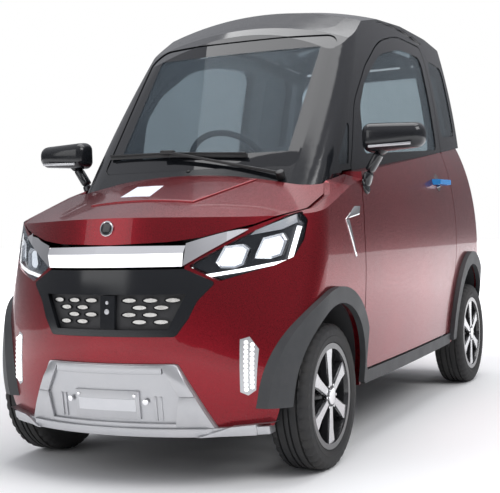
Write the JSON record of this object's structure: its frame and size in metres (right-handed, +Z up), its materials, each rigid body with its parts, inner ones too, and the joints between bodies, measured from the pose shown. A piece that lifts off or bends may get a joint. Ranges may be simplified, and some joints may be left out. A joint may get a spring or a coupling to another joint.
{
  "type": "enclosed mobility scooter",
  "caption": "Small enclosed four wheel electric mobility car with two doors, an upright cabin, a short bonnet and a rear hatch.",
  "frame": {"origin": "on the ground, under the middle of the bounding box", "axes": "+X forward, +Y to the car's left, +Z up"},
  "size_m": [2.8635, 1.7, 1.797],
  "materials": {
    "body_paint": "gloss candy red",
    "black_gloss": "gloss black",
    "clear_glass": "clear, thin",
    "lamp_lens": "clear lamp cover",
    "bright_trim": "bright",
    "silver_trim": "silver painted",
    "grey_plastic": "dark grey, grained",
    "black_plastic": "black, fine grained",
    "chassis_steel": "black semi-matt",
    "tyre_rubber": "black rubber",
    "rim_metal": "machined faces on black",
    "seat_cloth": "dark woven cloth"
  },
  "bodies": {
    "car_body": {"front_fenders": "body_paint", "front_bumper": "body_paint", "rear_bumper": "body_paint", "rear_quarters": "body_paint", "cabin_frame": "black_gloss", "roof": "black_gloss", "grille": "black_gloss", "windscreen": "clear_glass", "quarter_windows": "clear_glass", "headlights": "lamp_lens", "daytime_lights": "lamp_lens", "tail_lights": "lamp_lens", "grille_bar": "bright_trim", "skid_plate": "silver_trim", "arch_flares": "grey_plastic", "sill_trims": "grey_plastic", "cowl_panel": "grey_plastic", "floor_pan": "black_plastic", "battery_pack": "black_plastic", "dashboard": "black_plastic", "steering_column": "black_plastic", "chassis_frame": "chassis_steel", "front_axle": "chassis_steel", "springs": "chassis_steel", "rear_axle": "chassis_steel", "seat_frames": "chassis_steel", "driver_cushion": "seat_cloth", "driver_backrest": "seat_cloth", "bench_cushion": "seat_cloth", "bench_backrest": "seat_cloth"},
    "bonnet_lid": {"bonnet": "body_paint"},
    "hatch": {"tailgate": "body_paint", "tailgate_frame": "black_gloss", "rear_window": "clear_glass"},
    "left_door": {"door_left": "body_paint", "door_frame_left": "black_gloss", "door_glass_left": "clear_glass", "mirror_left": "black_gloss", "door_handle_left": "silver_trim"},
    "right_door": {"door_right": "body_paint", "door_frame_right": "black_gloss", "door_glass_right": "clear_glass", "mirror_right": "black_gloss", "door_handle_right": "silver_trim"},
    "left_knuckle": {"knuckle_left": "chassis_steel"},
    "right_knuckle": {"knuckle_right": "chassis_steel"},
    "wheel_front_left": {"tyre_front_left": "tyre_rubber", "rim_front_left": "rim_metal"},
    "wheel_front_right": {"tyre_front_right": "tyre_rubber", "rim_front_right": "rim_metal"},
    "wheel_rear_left": {"tyre_rear_left": "tyre_rubber", "rim_rear_left": "rim_metal"},
    "wheel_rear_right": {"tyre_rear_right": "tyre_rubber", "rim_rear_right": "rim_metal"},
    "hand_wheel": {"steering_wheel": "black_plastic"},
    "rack_bar": {"steering_rack": "chassis_steel"}
  },
  "joints": [
    {"name": "steer_left", "type": "hinge", "parent": "car_body", "child": "left_knuckle", "pos_m": [0.955, 0.46, 0.2475], "axis": [0, 0, 1], "range_deg": [-30, 30]},
    {"name": "steer_right", "type": "hinge", "parent": "car_body", "child": "right_knuckle", "pos_m": [0.955, -0.46, 0.2475], "axis": [0, 0, 1], "range_deg": [-30, 30]},
    {"name": "steering_wheel", "type": "hinge", "parent": "car_body", "child": "hand_wheel", "pos_m": [0.48, 0, 1.063], "axis": [-0.8192, 0, 0.5736], "range_deg": [-480, 480]},
    {"name": "rack", "type": "slide", "parent": "car_body", "child": "rack_bar", "axis": [0, 1, 0], "range_m": [-0.058, 0.058]},
    {"name": "left_door_hinge", "type": "hinge", "parent": "car_body", "child": "left_door", "pos_m": [0.643, 0.626, 0.65], "axis": [0, 0, -1], "range_deg": [0, 65]},
    {"name": "right_door_hinge", "type": "hinge", "parent": "car_body", "child": "right_door", "pos_m": [0.643, -0.626, 0.65], "axis": [0, 0, 1], "range_deg": [0, 65]},
    {"name": "bonnet_hinge", "type": "hinge", "parent": "car_body", "child": "bonnet_lid", "pos_m": [0.742, 0, 1], "axis": [0, -1, 0], "range_deg": [0, 45]},
    {"name": "hatch_hinge", "type": "hinge", "parent": "car_body", "child": "hatch", "pos_m": [-1.317, 0, 1.664], "axis": [0, 1, 0], "range_deg": [0, 75]},
    {"name": "roll_front_left", "type": "hinge", "parent": "left_knuckle", "child": "wheel_front_left", "pos_m": [0.955, 0.5305, 0.2475], "axis": [0, 1, 0], "continuous": true},
    {"name": "roll_front_right", "type": "hinge", "parent": "right_knuckle", "child": "wheel_front_right", "pos_m": [0.955, -0.5305, 0.2475], "axis": [0, 1, 0], "continuous": true},
    {"name": "roll_rear_left", "type": "hinge", "parent": "car_body", "child": "wheel_rear_left", "pos_m": [-1.045, 0.5305, 0.2475], "axis": [0, 1, 0], "continuous": true},
    {"name": "roll_rear_right", "type": "hinge", "parent": "car_body", "child": "wheel_rear_right", "pos_m": [-1.045, -0.5305, 0.2475], "axis": [0, 1, 0], "continuous": true}
  ],
  "couplings": [
    {"joint": "steer_right", "follows": "steer_left", "ratio": 1},
    {"joint": "steering_wheel", "follows": "steer_left", "ratio": 16},
    {"joint": "rack", "follows": "steer_left", "m_per_rad": 0.11}
  ]
}
